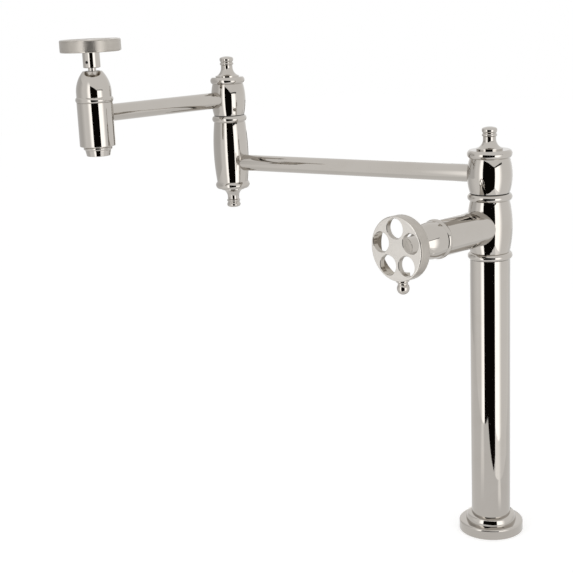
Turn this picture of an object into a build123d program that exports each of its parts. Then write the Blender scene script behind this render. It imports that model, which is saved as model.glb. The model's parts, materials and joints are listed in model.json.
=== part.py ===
"""A deck mount pot filler: a column with a wheel valve, two swivelling arms and a spout with a wheel."""

import math
import os

from build123d import *

# Fits and gaps
run_gap = 0.05  # on the radius, where one piece turns in another
face_gap = 0.05  # between two flat faces that turn on each other
screw_gap = 0.03  # on the radius, where a piece is screwed or soldered in
spare_gap = 0.5  # where an inner piece passes through a wider bore
edge_break = 0.5  # small chamfer or rounding on an outer edge
pick_gap = 0.03  # how near an edge's radius must be for the edge to be picked

# Column tube
tube_r = 19.0
tube_wall = 1.5
tube_sink = 4.4  # how deep the column stands in the flange
column_top = 276.4  # height of the top of the column tube above the deck

# Flange and gasket
flange_r = tube_r + 12.35
flange_h = 10.4
shoulder_r = 2.0  # rounding between the flange's edge and its top
flange_rise = 0.15  # slope of the top, from the rounding up to the collar
boss_h = 12.6  # boss of the flange inside the tube, above the flange's top
gasket_r = flange_r - 3.25
gasket_w = 7.5
gasket_h = 2.0

# Collar
collar_r = tube_r + 5.6
collar_h = 7.2
collar_side_h = 5.7
collar_mid_r = collar_r - 0.41  # halfway up the side
collar_side_r = collar_r - 1.28  # at the top of the side
collar_round_r = 1.2  # rounding between the side and the crown
collar_round_turn = 44.0  # how far that rounding turns the outline, in degrees
collar_land = 0.4  # from the tube out to the edge of the crown

# Supply bush and riser
inlet_r = 9.32  # wall of the half-inch pipe thread
inlet_len = 14.0
bush_r = inlet_r + 4.68
bush_head_r = bush_r + 3.0
bush_head_h = 3.0
bush_h = inlet_len + 12.0
riser_r = 7.0
riser_wall = 1.2
riser_bite = 9.0  # how deep the riser sits in each socket
seal_wire = 0.93  # half the thickness of an O-ring on the riser
seal_squash = 0.1

# Valve body
bead_h = 6.8
bead_r = tube_r + 2.2
body_h = 49.3
body_r = tube_r + 2.35
body_end_r = tube_r - 0.4
body_spigot = 14.0
body_well_r = 11.0
body_well_h = 4.0
way_r = 4.5  # water way from the riser to the branch
way_back = 6.0  # how far that way stands behind the axis
branch_seat = 11.0  # where the branch tube ends inside the body, from the axis
branch_pocket = 5.0
branch_return_r = 2.8
branch_return_s = 8.0

# Headwork: radii
disc_r = 8.9
disc_port_r = 2.6
disc_port_at = disc_r - 4.1
disc_ports = 2
seat_ring_r = disc_r - 3.4
cartridge_r = disc_r + 2.0
cartridge_flange_r = cartridge_r + 3.2
trim_bore_r = cartridge_r + 2.3
neck_r = 8.5
stem_r = 3.9
carrier_r = 5.0
collar_thrust_r = disc_r - 1.4
key_w = 3.0
key_len = 2 * disc_r - 3.8
bonnet_spigot_r = cartridge_flange_r + 1.35
bonnet_r = bonnet_spigot_r + 1.65
bonnet_bead_r = bonnet_r + 1.3
dome_arc_r = 30.5
dome_well_r = 7.2  # sunk ring in the dome's top
gland_r = stem_r + 1.0  # ring left standing round the stem inside it

# Headwork: heights above the cartridge's seat
seat_ring_h = 3.0
disc_h = 3.0
key_h = 1.5
window_low = 10.0
window_high = 18.0
window_w = 10.0
head_low = 20.0  # underside of the cartridge's solid head
collar_thrust_h = 2.0
flange_low = 23.2
flange_high = 25.0
fibre_h = 0.8
bonnet_low = 27.6  # underside of the bonnet's bead
bonnet_bead_h = 5.3
dome_low = 37.0
neck_top = 44.0
dome_top = 57.5
dome_well_h = 1.6
stem_top = dome_top + 12.1

# Branch
branch_r = bonnet_r - 0.3
branch_trim_s = 49.0  # seat of the cartridge, from the column's axis
feed_r = cartridge_r - 1.9
feed_wall = 2.5
feed_lip_r = cartridge_r
feed_lip_h = 2.0

# Handles
spout_hub_gap = 3.1
branch_hub_gap = 0.35
hub_r = 8.35
hub_h = 14.9
hub_bore_h = 12.0
stud_r = 4.5
stud_h = 7.0
screw_r = 1.5
screw_up = 5.4
screw_sink = 0.8
screw_turn = 185.0  # from the ball finial to the set screw, round the axis
wheel_r = 29.3
wheel_h = 12.0
wheel_edge = 1.2
wheel_web = 5.5  # thickness behind the face, where the back is hollowed out
wheel_recess_r = wheel_r - 1.4
wheel_middle_r = 9.0  # solid middle of the wheel
wheel_rim = 1.9  # least metal outside the holes
wheel_holes = 5
hole_turn = 180.0  # from the ball finial to the first hole, round the axis
wheel_hole_r = (wheel_r - wheel_rim - wheel_middle_r) / 2
wheel_hole_at = wheel_middle_r + wheel_hole_r
wheel_hole_edge = 0.35
ball_pad_w = 8.0  # block left in the hollow behind the ball finial's stud
ball_pad_r = wheel_r - 6.8
branch_wheel_turn = 3.6  # how far the branch wheel's ball leans from straight down
spout_ball_angle = 107.0  # direction of the spout wheel's ball, seen from above

# Ball finial, by distance from the wheel's axis
ball_stud_r = 2.0
ball_stud_low = wheel_r - 4.8
ball_collar_r = 5.9
ball_collar_low = wheel_r - 1.0
ball_collar_high = wheel_r + 0.6
ball_neck_r = 4.6
ball_neck_at = wheel_r + 2.2
ball_flare_r = 4.9  # radius halfway along the hollow between collar and neck
ball_r = 5.7
ball_at = wheel_r + 6.65

# Arms
arm_r = 8.35
arm_wall = 1.5
arm_seat_wall = 1.0  # metal between an arm's end and the bore it feeds
lower_arm_len = 300.0  # between the column's axis and the elbow's axis
upper_arm_len = 170.0  # between the elbow's axis and the spout's axis
lower_arm_angle = 192.8  # direction of the lower arm, seen from above
lower_arm_up = arm_r + 8.75  # arm's axis above the foot of the swivel barrel

# Swivel posts and nuts
seal_r = 1.3  # half the thickness of an O-ring on a post
post_bore_r = 5.0
gallery_h = 11.0
gallery_deep = 2.5
port_r = 3.5
port_turns = (45.0, 135.0)  # directions of the two holes drilled across a post
washer_h = 0.7
nut_h = 3.6
nut_step = 6.1  # depth of the step that the nut holds down, under the barrel's top
nut_slots = 4
nut_slot_w = 4.0
nut_slot_deep = 2.0

# Swivel on the column
post_r = 14.0
post_spigot_r = post_r - 2.0
post_spigot = 12.4
post_thread_r = post_r - 5.0
nut_r = post_r + 2.0
barrel_end_r = post_r + 4.8
barrel_r = barrel_end_r + 2.5
barrel_head_wall = 0.95  # metal between the arm's hole and the nut's step
barrel_h = lower_arm_up + arm_r + barrel_head_wall + nut_step
washer_r = barrel_end_r - 0.6
cap_h = 7.65
cap_r = barrel_end_r + 2.4
cap_plug = 1.7
cap_plug_wall = 2.0
cap_well = 2.0

# Finials
finial_stud_r = 3.0
finial_stud = 3.4
finial_disc_r = 12.4
finial_disc_h = 1.5
finial_flare_r = 11.65  # foot of the flared waist
finial_waist_r = 6.15
finial_waist_h = 9.8
finial_ring_low = 12.2
finial_ring_r = 7.15
finial_ring_h = 13.7
finial_ring_high = 15.0
finial_neck_r = 6.35
finial_neck_h = 15.7
finial_cheek_r = 7.1  # halfway up the button's side
finial_button_r = 7.25
finial_button_h = 18.4
finial_round_r = 2.2
finial_h = 21.5

# Elbow
elbow_arm_up = 20.4  # lower arm's axis above the foot of the elbow barrel
elbow_post_r = 11.5
elbow_bore_r = elbow_post_r - 0.5
elbow_thread_r = elbow_post_r - 3.9
elbow_nut_r = elbow_post_r + 2.0
elbow_spigot = 15.3
elbow_barrel_h = 63.6
elbow_barrel_end_r = elbow_bore_r + 5.6
elbow_barrel_r = elbow_barrel_end_r + 2.15
elbow_bead_r = elbow_barrel_end_r + 1.8
elbow_bead_h = 6.8
elbow_head_wall = 1.75  # metal between the upper arm's hole and the nut's step
elbow_swivel_h = 2 * (arm_r + elbow_head_wall + nut_step)
elbow_swivel_end_r = elbow_post_r + 4.75
elbow_swivel_r = elbow_swivel_end_r + 1.95
elbow_washer_r = elbow_swivel_end_r - 0.35
elbow_cap_r = elbow_swivel_end_r + 1.95
elbow_cap_h = 7.1
elbow_foot_r = elbow_barrel_end_r + 1.7
elbow_foot_h = 7.0

# Spout
spout_r = bonnet_r + 0.35
spout_edge = 0.8
spout_arm_clear = 0.6  # from the arm's top up to the top of the cartridge's flange
spout_trim_drop = flange_high - arm_r - spout_arm_clear  # cartridge's seat below the arm's axis
trim_seat_bore_r = 7.0
trim_seat_wall = 4.0
nozzle_bore_r = 9.5
nozzle_thread_r = 11.5
nozzle_thread = 9.4
nozzle_spare = 1.2  # room above the nozzle's thread
spout_drop = spout_trim_drop + trim_seat_wall + nozzle_spare + nozzle_thread  # foot below the arm's axis
nozzle_seam = 0.8  # open groove between the spout body and the nozzle's lip
nozzle_lip_r = 14.1
nozzle_lip_h = 2.8
nozzle_step_r = 12.6
nozzle_tip_r = 11.2
nozzle_drop = 9.4  # tip of the nozzle below the spout body
nozzle_edge = 0.3  # small edges of the nozzle
aerator_h = 6.0
aerator_sink = 1.0
aerator_face_h = 1.5
aerator_rim = 2.0
aerator_hole_r = 0.8
aerator_rows = ((2.6, 6), (5.2, 12))  # radius and count of each ring of holes
aerator_washer_h = 1.5

# Heights worked out from the sizes above
body_foot = column_top + bead_h
branch_z = body_foot + body_h / 2
body_top = body_foot + body_h + bead_h
barrel_foot = body_top + washer_h + face_gap
barrel_top = barrel_foot + barrel_h
lower_arm_z = barrel_foot + lower_arm_up
cap_top = barrel_top + cap_h
elbow_foot_z = lower_arm_z - elbow_arm_up
elbow_ring_top = elbow_foot_z + elbow_barrel_h + elbow_bead_h
swivel_foot = elbow_ring_top + washer_h + face_gap
swivel_top = swivel_foot + elbow_swivel_h
upper_arm_z = swivel_foot + elbow_swivel_h / 2
elbow_cap_top = swivel_top + elbow_cap_h
spout_foot = upper_arm_z - spout_drop
spout_trim_z = upper_arm_z - spout_trim_drop
barrel_bore_r = post_r + run_gap
swivel_bore_r = elbow_post_r + run_gap
stem_bore_r = stem_r + run_gap

# Places
column_at = Vector(0, 0, 0)
lower_dir = Vector(1, 0, 0).rotate(Axis.Z, lower_arm_angle)
upper_dir = Vector(0, -1, 0)
elbow_at = lower_dir * lower_arm_len
spout_at = elbow_at + upper_dir * upper_arm_len


def upright(place, height):
    """A turning plane whose own Y runs up the object's Z, through a place on the deck plan."""
    return Plane(origin=(place.X, place.Y, height), x_dir=(1, 0, 0), z_dir=(0, -1, 0))


def hanging(place, height):
    """The same plane turned over, so that its own Y runs down."""
    return Plane(origin=(place.X, place.Y, height), x_dir=(1, 0, 0), z_dir=(0, 1, 0))


def turning_axis(seat):
    """The axis that a piece on this turning plane is turned about."""
    return Axis(seat.origin, seat.y_dir)


def cross_plane(seat, height):
    """The plane square to a turning axis, at a height along it."""
    return Plane(origin=seat.origin + seat.y_dir * height, x_dir=seat.x_dir, z_dir=seat.y_dir)


def along(place, height, direction, start):
    """The plane square to a level direction, a distance out from an upright axis."""
    origin = Vector(place.X, place.Y, height) + direction * start
    return Plane(origin=origin, x_dir=(0, 0, 1), z_dir=direction)


def band(r_in, r_out, low, high, mode=Mode.ADD):
    """One step of a turned outline, between two radii and two heights."""
    with Locations((r_in, low)):
        Rectangle(r_out - r_in, high - low, align=(Align.MIN, Align.MIN), mode=mode)


def rims(piece, radius):
    """The circular edges of a piece at one radius."""
    circles = piece.edges().filter_by(GeomType.CIRCLE)
    return circles.filter_by(lambda rim: abs(rim.radius - radius) < pick_gap)


def write(piece, label):
    """Name a finished piece and write it to its own file."""
    piece.label = label
    export_step(piece, f"parts/{label}.step")


def plain_ring(seat, r_in, r_out, low, high):
    """A plain ring about a turning axis."""
    with BuildPart() as ring:
        with BuildSketch(seat):
            band(r_in, r_out, low, high)
        revolve(axis=turning_axis(seat))
    return ring.part


def seal_pair(seat, centre_r, wire_r, heights):
    """Two O-rings on one axis, as separate solids of one group."""
    with BuildPart() as seals:
        with BuildSketch(seat):
            with Locations(*[(centre_r, height) for height in heights]):
                Circle(wire_r)
        revolve(axis=turning_axis(seat))
    return seals.part


def finial(seat):
    """A turned finial: foot disc, flared waist, small ring and rounded button, with a stud below."""
    crown_rise = finial_h - finial_button_h - finial_round_r
    crown_tilt = math.degrees(math.atan(crown_rise / (finial_button_r - finial_round_r)))
    with BuildPart() as knob:
        with BuildSketch(seat):
            with BuildLine():
                foot = Polyline(
                    (0, -finial_stud),
                    (finial_stud_r, -finial_stud),
                    (finial_stud_r, 0),
                    (finial_disc_r, 0),
                    (finial_disc_r, finial_disc_h),
                    (finial_flare_r, finial_disc_h),
                )
                flare = TangentArc((finial_waist_r, finial_waist_h), foot @ 1, tangent=(0, -1))
                waist = Line(flare @ 0, (finial_waist_r, finial_ring_low))
                ring = ThreePointArc(
                    waist @ 1, (finial_ring_r, finial_ring_h), (finial_neck_r, finial_ring_high)
                )
                neck = Line(ring @ 1, (finial_neck_r, finial_neck_h))
                cheek = ThreePointArc(
                    neck @ 1,
                    (finial_cheek_r, (finial_neck_h + finial_button_h) / 2),
                    (finial_button_r, finial_button_h),
                )
                rounding = JernArc(
                    start=cheek @ 1, tangent=(0, 1), radius=finial_round_r, arc_size=90 - 2 * crown_tilt
                )
                crown = TangentArc(rounding @ 1, (0, finial_h), tangent=rounding % 1)
                Line(crown @ 1, (0, -finial_stud))
            make_face()
        revolve(axis=turning_axis(seat))
    return knob.part


def beaded_cap(seat, crown_r, end_r, height, plug_r):
    """A cap with a round bead for its rim, a plug below and a threaded hole for a finial on top."""
    with BuildPart() as cap:
        with BuildSketch(seat):
            with BuildLine():
                floor = Polyline((0, 0), (end_r, 0))
                bead = ThreePointArc(floor @ 1, (crown_r, height / 2), (end_r, height))
                Polyline(bead @ 1, (0, height), (0, 0))
            make_face()
            band(plug_r - cap_plug_wall, plug_r, -cap_plug, 0)
            band(0, plug_r - cap_plug_wall, 0, cap_well, mode=Mode.SUBTRACT)
            band(0, finial_stud_r + screw_gap, cap_well, height, mode=Mode.SUBTRACT)
        revolve(axis=turning_axis(seat))
    return cap.part


def post(seat, shaft_r, spigot_r, spigot_h, thread_r, gallery_at, shoulder_at, top_at):
    """A hollow swivel post: a gallery with ports for the arm, and a groove for an O-ring either side."""
    groove_r = shaft_r - 2 * seal_r
    below = (gallery_at - gallery_h / 2) / 2
    above = (gallery_at + gallery_h / 2 + shoulder_at) / 2
    with BuildPart() as turned:
        with BuildSketch(seat):
            band(post_bore_r, spigot_r - screw_gap, -spigot_h, 0)
            band(post_bore_r, shaft_r, 0, shoulder_at)
            band(0, thread_r, shoulder_at, top_at)
            band(shaft_r - gallery_deep, shaft_r, gallery_at - gallery_h / 2,
                 gallery_at + gallery_h / 2, mode=Mode.SUBTRACT)
            for height in (below, above):
                band(groove_r, shaft_r, height - seal_r, height + seal_r, mode=Mode.SUBTRACT)
        revolve(axis=turning_axis(seat))
        for turn in port_turns:
            across = Vector(1, 0, 0).rotate(Axis.Z, turn)
            with BuildSketch(along(seat.origin, seat.origin.Z + gallery_at, across, -shaft_r)):
                Circle(port_r)
            extrude(amount=2 * shaft_r, mode=Mode.SUBTRACT)
    seals = seal_pair(seat, shaft_r - seal_r, seal_r - seal_squash / 2, (below, above))
    return turned.part, seals


def slotted_nut(seat, r_in, r_out, low):
    """A round nut with four spanner slots in its rim."""
    with BuildPart() as nut:
        with BuildSketch(cross_plane(seat, low)):
            Circle(r_out)
            Circle(r_in, mode=Mode.SUBTRACT)
            with PolarLocations(r_out, nut_slots):
                Rectangle(2 * nut_slot_deep, nut_slot_w, mode=Mode.SUBTRACT)
        extrude(amount=nut_h)
    return nut.part


def ceramic_disc(seat, low, slotted):
    """A ceramic disc with two round ports; the turning one has a slot for the stem's key."""
    with BuildPart() as disc:
        with BuildSketch(cross_plane(seat, low)):
            Circle(disc_r if not slotted else disc_r - run_gap)
            with PolarLocations(disc_port_at, disc_ports, start_angle=90):
                Circle(disc_port_r, mode=Mode.SUBTRACT)
        extrude(amount=disc_h)
        if slotted:
            with BuildSketch(cross_plane(seat, low + disc_h)):
                Rectangle(key_len + 2 * screw_gap, key_w + 2 * screw_gap)
            extrude(amount=-key_h, mode=Mode.SUBTRACT)
    return disc.part


def cartridge(seat):
    """The cartridge body: disc chamber with two windows, solid head, clamping flange and neck."""
    with BuildPart() as shell:
        with BuildSketch(seat):
            band(disc_r + screw_gap, cartridge_r, 0, head_low)
            band(stem_bore_r, cartridge_r, head_low, flange_low)
            band(stem_bore_r, cartridge_flange_r, flange_low, flange_high)
            band(stem_bore_r, neck_r, flange_high, neck_top)
        revolve(axis=turning_axis(seat))
        with BuildSketch(cross_plane(seat, window_low)):
            Rectangle(4 * cartridge_r, window_w)
        extrude(amount=window_high - window_low, mode=Mode.SUBTRACT)
    return shell.part


def stem(seat):
    """The stem: key in the turning disc, carrier, thrust collar and the shaft up into the hub."""
    disc_top = seat_ring_h + 2 * disc_h + face_gap
    with BuildPart() as shaft:
        with BuildSketch(seat):
            band(0, carrier_r, disc_top, head_low - collar_thrust_h)
            band(0, collar_thrust_r, head_low - collar_thrust_h, head_low - face_gap)
            band(0, stem_r, head_low - face_gap, stem_top)
        revolve(axis=turning_axis(seat))
        with BuildSketch(cross_plane(seat, disc_top)):
            Rectangle(key_len, key_w)
        extrude(amount=-(key_h - face_gap))
    return shaft.part


def bonnet(seat):
    """The bonnet: screwed spigot, round bead, short skirt and dome, sunk round a gland ring on top."""
    centre_r = bonnet_r - dome_arc_r
    rise = dome_top - dome_low
    top_r = centre_r + math.sqrt(dome_arc_r**2 - rise**2)
    bead_top = bonnet_low + bonnet_bead_h
    half = math.asin(rise / dome_arc_r) / 2
    with BuildPart() as dome:
        with BuildSketch(seat):
            with BuildLine():
                spigot = Polyline(
                    (0, flange_high), (bonnet_spigot_r, flange_high), (bonnet_spigot_r, bonnet_low),
                    (bonnet_r, bonnet_low),
                )
                bead = ThreePointArc(
                    spigot @ 1, (bonnet_bead_r, bonnet_low + bonnet_bead_h / 2), (bonnet_r, bead_top)
                )
                skirt = Line(bead @ 1, (bonnet_r, dome_low))
                side = ThreePointArc(
                    skirt @ 1,
                    (centre_r + dome_arc_r * math.cos(half), dome_low + dome_arc_r * math.sin(half)),
                    (top_r, dome_top),
                )
                Polyline(side @ 1, (0, dome_top), (0, flange_high))
            make_face()
            band(0, neck_r + spare_gap, flange_high, neck_top + spare_gap, mode=Mode.SUBTRACT)
            band(0, stem_bore_r, neck_top, dome_top, mode=Mode.SUBTRACT)
            band(gland_r, dome_well_r, dome_top - dome_well_h, dome_top, mode=Mode.SUBTRACT)
        revolve(axis=turning_axis(seat))
        fillet(rims(dome, top_r), edge_break)
    return dome.part


def hub(seat, low, screw_plane):
    """The hub: bored for the stem, with a stud into the wheel and a cross hole for the set screw."""
    with BuildPart() as boss:
        with BuildSketch(seat):
            band(0, hub_r, low, low + hub_h)
            band(0, stud_r, low + hub_h, low + hub_h + stud_h)
            band(0, stem_r + screw_gap, low, low + hub_bore_h, mode=Mode.SUBTRACT)
        revolve(axis=turning_axis(seat))
        chamfer(rims(boss, hub_r), edge_break)
        with BuildSketch(screw_plane):
            Circle(screw_r + screw_gap)
        extrude(amount=2 * hub_r, mode=Mode.SUBTRACT)
    return boss.part


def set_screw(screw_plane):
    """The hub's set screw, sunk a little under the surface, with a hexagon socket."""
    with BuildPart() as grub:
        with BuildSketch(screw_plane.offset(stem_r + screw_gap)):
            Circle(screw_r)
        extrude(amount=hub_r - screw_sink - stem_r - screw_gap)
        with BuildSketch(screw_plane.offset(hub_r - screw_sink)):
            RegularPolygon(screw_r / 2, side_count=6)
        extrude(amount=-screw_r, mode=Mode.SUBTRACT)
    return grub.part


def wheel(back):
    """The wheel: a disc hollowed from behind, with five round holes, one opposite the ball finial."""
    with BuildPart() as disc:
        with BuildSketch(back):
            Circle(wheel_r)
        extrude(amount=wheel_h)
        fillet(disc.edges(), wheel_edge)
        with BuildSketch(back):
            Circle(wheel_recess_r)
            Circle(hub_r, mode=Mode.SUBTRACT)
            with Locations((ball_pad_r, 0)):
                Rectangle(wheel_r, ball_pad_w, align=(Align.MIN, Align.CENTER), mode=Mode.SUBTRACT)
        extrude(amount=wheel_h - wheel_web, mode=Mode.SUBTRACT)
        with BuildSketch(back):
            with PolarLocations(wheel_hole_at, wheel_holes, start_angle=hole_turn):
                Circle(wheel_hole_r)
        extrude(amount=wheel_h, mode=Mode.SUBTRACT)
        chamfer(rims(disc, wheel_hole_r), wheel_hole_edge)
        with BuildSketch(back):
            Circle(stud_r + screw_gap)
        extrude(amount=stud_h + spare_gap, mode=Mode.SUBTRACT)
        socket = Plane(origin=back.origin + back.z_dir * wheel_h / 2, x_dir=back.z_dir, z_dir=back.x_dir)
        with BuildSketch(socket.offset(ball_collar_low)):
            Circle(ball_collar_r + screw_gap)
        extrude(amount=wheel_r, mode=Mode.SUBTRACT)
        with BuildSketch(socket.offset(ball_stud_low)):
            Circle(ball_stud_r + screw_gap)
        extrude(amount=wheel_r, mode=Mode.SUBTRACT)
    return disc.part


def ball_finial(back):
    """The ball finial on the rim: stud, collar, flared neck and ball."""
    middle = back.origin + back.z_dir * wheel_h / 2
    seat = Plane(origin=middle, x_dir=back.y_dir, z_dir=back.y_dir.cross(back.x_dir))
    neck_rise = math.sqrt(ball_r**2 - ball_neck_r**2)
    with BuildPart() as ball:
        with BuildSketch(seat):
            with BuildLine():
                collar = Polyline(
                    (0, ball_stud_low),
                    (ball_stud_r, ball_stud_low),
                    (ball_stud_r, ball_collar_low),
                    (ball_collar_r, ball_collar_low),
                    (ball_collar_r, ball_collar_high),
                )
                flare = ThreePointArc(
                    collar @ 1,
                    (ball_flare_r, (ball_collar_high + ball_neck_at) / 2),
                    (ball_neck_r, ball_neck_at),
                )
                neck = Line(flare @ 1, (ball_neck_r, ball_at - neck_rise))
                globe = ThreePointArc(neck @ 1, (ball_r, ball_at), (0, ball_at + ball_r))
                Line(globe @ 1, (0, ball_stud_low))
            make_face()
        revolve(axis=turning_axis(seat))
    return ball.part


def headwork(seat, prefix):
    """Write the pieces of a headwork that stay still on their seat."""
    ring = plain_ring(seat, seat_ring_r, disc_r, 0, seat_ring_h)
    fibre_r = cartridge_r + spare_gap
    fibre = plain_ring(seat, fibre_r, cartridge_flange_r, flange_low - fibre_h, flange_low)
    write(ring, f"{prefix}_seat_ring")
    write(cartridge(seat), f"{prefix}_cartridge")
    write(ceramic_disc(seat, seat_ring_h, slotted=False), f"{prefix}_fixed_disc")
    write(fibre, f"{prefix}_cartridge_seal")
    write(bonnet(seat), f"{prefix}_bonnet")


def handle(seat, prefix, hub_gap, ball_dir):
    """Write the pieces that turn with a wheel, its ball pointing in the given direction."""
    low = dome_top + hub_gap
    back_at = seat.origin + seat.y_dir * (low + hub_h)
    back = Plane(origin=back_at, x_dir=ball_dir, z_dir=seat.y_dir)
    screw_dir = ball_dir.rotate(Axis((0, 0, 0), seat.y_dir), screw_turn)
    screw_at = seat.origin + seat.y_dir * (low + screw_up)
    screw_plane = Plane(origin=screw_at, x_dir=seat.y_dir, z_dir=screw_dir)
    disc = ceramic_disc(seat, seat_ring_h + disc_h + face_gap, slotted=True)
    write(disc, f"{prefix}_turning_disc")
    write(stem(seat), f"{prefix}_stem")
    write(hub(seat, low, screw_plane), f"{prefix}_hub")
    write(set_screw(screw_plane), f"{prefix}_set_screw")
    write(wheel(back), f"{prefix}_wheel")
    write(ball_finial(back), f"{prefix}_ball")


os.makedirs("parts", exist_ok=True)
deck_seat = upright(column_at, 0)

# Flange: vertical edge, rounded shoulder, boss inside the column and a bore for the supply bush
tube_foot = flange_h - tube_sink
tube_in_r = tube_r - tube_wall
shoulder_low = flange_h - flange_rise - shoulder_r
with BuildPart() as base_flange:
    with BuildSketch(deck_seat):
        with BuildLine():
            edge = Polyline(
                (0, 0), (flange_r - edge_break, 0), (flange_r, edge_break), (flange_r, shoulder_low)
            )
            shoulder = JernArc(start=edge @ 1, tangent=(0, 1), radius=shoulder_r, arc_size=90)
            Polyline(shoulder @ 1, (collar_r, flange_h), (0, flange_h), (0, 0))
        make_face()
        band(0, tube_in_r - screw_gap, flange_h, flange_h + boss_h)
        band(tube_in_r - screw_gap, tube_r + screw_gap, tube_foot, flange_h, mode=Mode.SUBTRACT)
        band(0, bush_r + screw_gap, 0, flange_h + boss_h, mode=Mode.SUBTRACT)
        band(0, bush_head_r + screw_gap, 0, bush_head_h, mode=Mode.SUBTRACT)
        band(gasket_r - gasket_w, gasket_r, 0, gasket_h, mode=Mode.SUBTRACT)
    revolve(axis=turning_axis(deck_seat))
write(base_flange.part, "base_flange")

gasket = plain_ring(deck_seat, gasket_r - gasket_w, gasket_r, 0, gasket_h)
write(gasket, "deck_gasket")

# Collar: a full side that leans in, a rounding and a low crown up to the tube
collar_seat = upright(column_at, flange_h)
with BuildPart() as base_collar:
    with BuildSketch(collar_seat):
        with BuildLine():
            side = ThreePointArc(
                (collar_r, 0), (collar_mid_r, collar_side_h / 2), (collar_side_r, collar_side_h)
            )
            rounding = JernArc(
                start=side @ 1, tangent=side % 1, radius=collar_round_r, arc_size=collar_round_turn
            )
            crown = TangentArc(rounding @ 1, (tube_r + collar_land, collar_h), tangent=rounding % 1)
            Polyline(crown @ 1, (tube_r + screw_gap, collar_h), (tube_r + screw_gap, 0), (collar_r, 0))
        make_face()
    revolve(axis=turning_axis(collar_seat))
write(base_collar.part, "base_collar")

column_tube = plain_ring(deck_seat, tube_in_r, tube_r, tube_foot, column_top)
write(column_tube, "column_tube")

# Supply bush: pipe thread below, riser socket with its groove above
riser_foot = bush_h - riser_bite
bush_groove = bush_h - riser_bite / 2
groove_out_r = riser_r + 2 * seal_wire + seal_squash / 2
with BuildPart() as inlet_bush:
    with BuildSketch(deck_seat):
        band(0, bush_r, 0, bush_h)
        band(0, bush_head_r, 0, bush_head_h)
        band(0, inlet_r, 0, inlet_len, mode=Mode.SUBTRACT)
        band(0, riser_r - riser_wall, inlet_len, riser_foot, mode=Mode.SUBTRACT)
        band(0, riser_r + screw_gap, riser_foot, bush_h, mode=Mode.SUBTRACT)
        band(0, groove_out_r, bush_groove - seal_wire, bush_groove + seal_wire, mode=Mode.SUBTRACT)
    revolve(axis=turning_axis(deck_seat))
write(inlet_bush.part, "inlet_bush")

riser_top = column_top - body_spigot + riser_bite
body_groove = column_top - body_spigot + riser_bite / 2
write(plain_ring(deck_seat, riser_r - riser_wall, riser_r, riser_foot, riser_top), "riser_tube")
seal_mid_r = riser_r + seal_wire
riser_seals = seal_pair(deck_seat, seal_mid_r, seal_wire - seal_squash / 2, (bush_groove, body_groove))
write(riser_seals, "riser_seals")

# Valve body: spigot in the column, lower bead, barrel with the branch socket, upper bead
body_seat = upright(column_at, 0)
branch_seat_plane = Plane(origin=(0, 0, branch_z), x_dir=(1, 0, 0), z_dir=(0, 0, -1))
well_top = riser_top + body_well_h
post_well = body_top - post_spigot
with BuildPart() as valve_body:
    with BuildSketch(body_seat):
        with BuildLine():
            foot = Line((0, column_top), (body_end_r, column_top))
            low_bead = ThreePointArc(foot @ 1, (bead_r, column_top + bead_h / 2), (body_end_r, body_foot))
            side = ThreePointArc(low_bead @ 1, (body_r, branch_z), (body_end_r, body_foot + body_h))
            top_bead = ThreePointArc(side @ 1, (bead_r, body_top - bead_h / 2), (body_end_r, body_top))
            Polyline(top_bead @ 1, (0, body_top), (0, column_top))
        make_face()
        band(0, tube_in_r - screw_gap, column_top - body_spigot, column_top)
        band(0, riser_r + screw_gap, column_top - body_spigot, riser_top, mode=Mode.SUBTRACT)
        band(0, groove_out_r, body_groove - seal_wire, body_groove + seal_wire, mode=Mode.SUBTRACT)
        band(0, body_well_r, riser_top, well_top, mode=Mode.SUBTRACT)
        band(0, post_spigot_r, post_well, body_top, mode=Mode.SUBTRACT)
        band(0, body_well_r, post_well - body_well_h, post_well, mode=Mode.SUBTRACT)
    revolve(axis=turning_axis(body_seat))
    with BuildSketch(branch_seat_plane):
        band(0, branch_r + screw_gap, branch_seat, 2 * body_r)
        band(0, trim_bore_r, branch_pocket, branch_seat)
        band(0, feed_r + screw_gap, 0, branch_pocket)
        band(0, way_r, -way_back, 0)
    revolve(axis=turning_axis(branch_seat_plane), mode=Mode.SUBTRACT)
    with BuildSketch(Plane.XY.offset(well_top - body_well_h / 2)):
        with Locations((0, way_back)):
            Circle(way_r)
    extrude(amount=branch_z - well_top + body_well_h / 2, mode=Mode.SUBTRACT)
    with BuildSketch(Plane.XY.offset(branch_z + feed_r)):
        with Locations((0, -branch_return_s)):
            Circle(branch_return_r)
    extrude(amount=post_well - body_well_h / 2 - branch_z - feed_r, mode=Mode.SUBTRACT)
write(valve_body.part, "valve_body")

# Branch: outer tube, inner feed pipe, headwork and handle
branch_trim = Plane(origin=(0, -branch_trim_s, branch_z), x_dir=(1, 0, 0), z_dir=(0, 0, -1))
branch_end = branch_trim_s + bonnet_low
branch_fibre_s = branch_trim_s + flange_low - fibre_h
with BuildPart() as branch_tube:
    with BuildSketch(branch_seat_plane):
        band(trim_bore_r, branch_r, branch_seat, branch_end)
        band(0, bonnet_spigot_r + screw_gap, branch_fibre_s, branch_end, mode=Mode.SUBTRACT)
    revolve(axis=turning_axis(branch_seat_plane))
write(branch_tube.part, "branch_tube")

with BuildPart() as feed_pipe:
    with BuildSketch(branch_seat_plane):
        band(feed_r - feed_wall, feed_r, 0, branch_trim_s)
        band(feed_r - feed_wall, feed_lip_r, branch_trim_s - feed_lip_h, branch_trim_s)
    revolve(axis=turning_axis(branch_seat_plane))
write(feed_pipe.part, "feed_pipe")

headwork(branch_trim, "branch")
ball_down = Vector(0, 0, -1).rotate(Axis.Y, -branch_wheel_turn)
handle(branch_trim, "branch", branch_hub_gap, ball_down)

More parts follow.
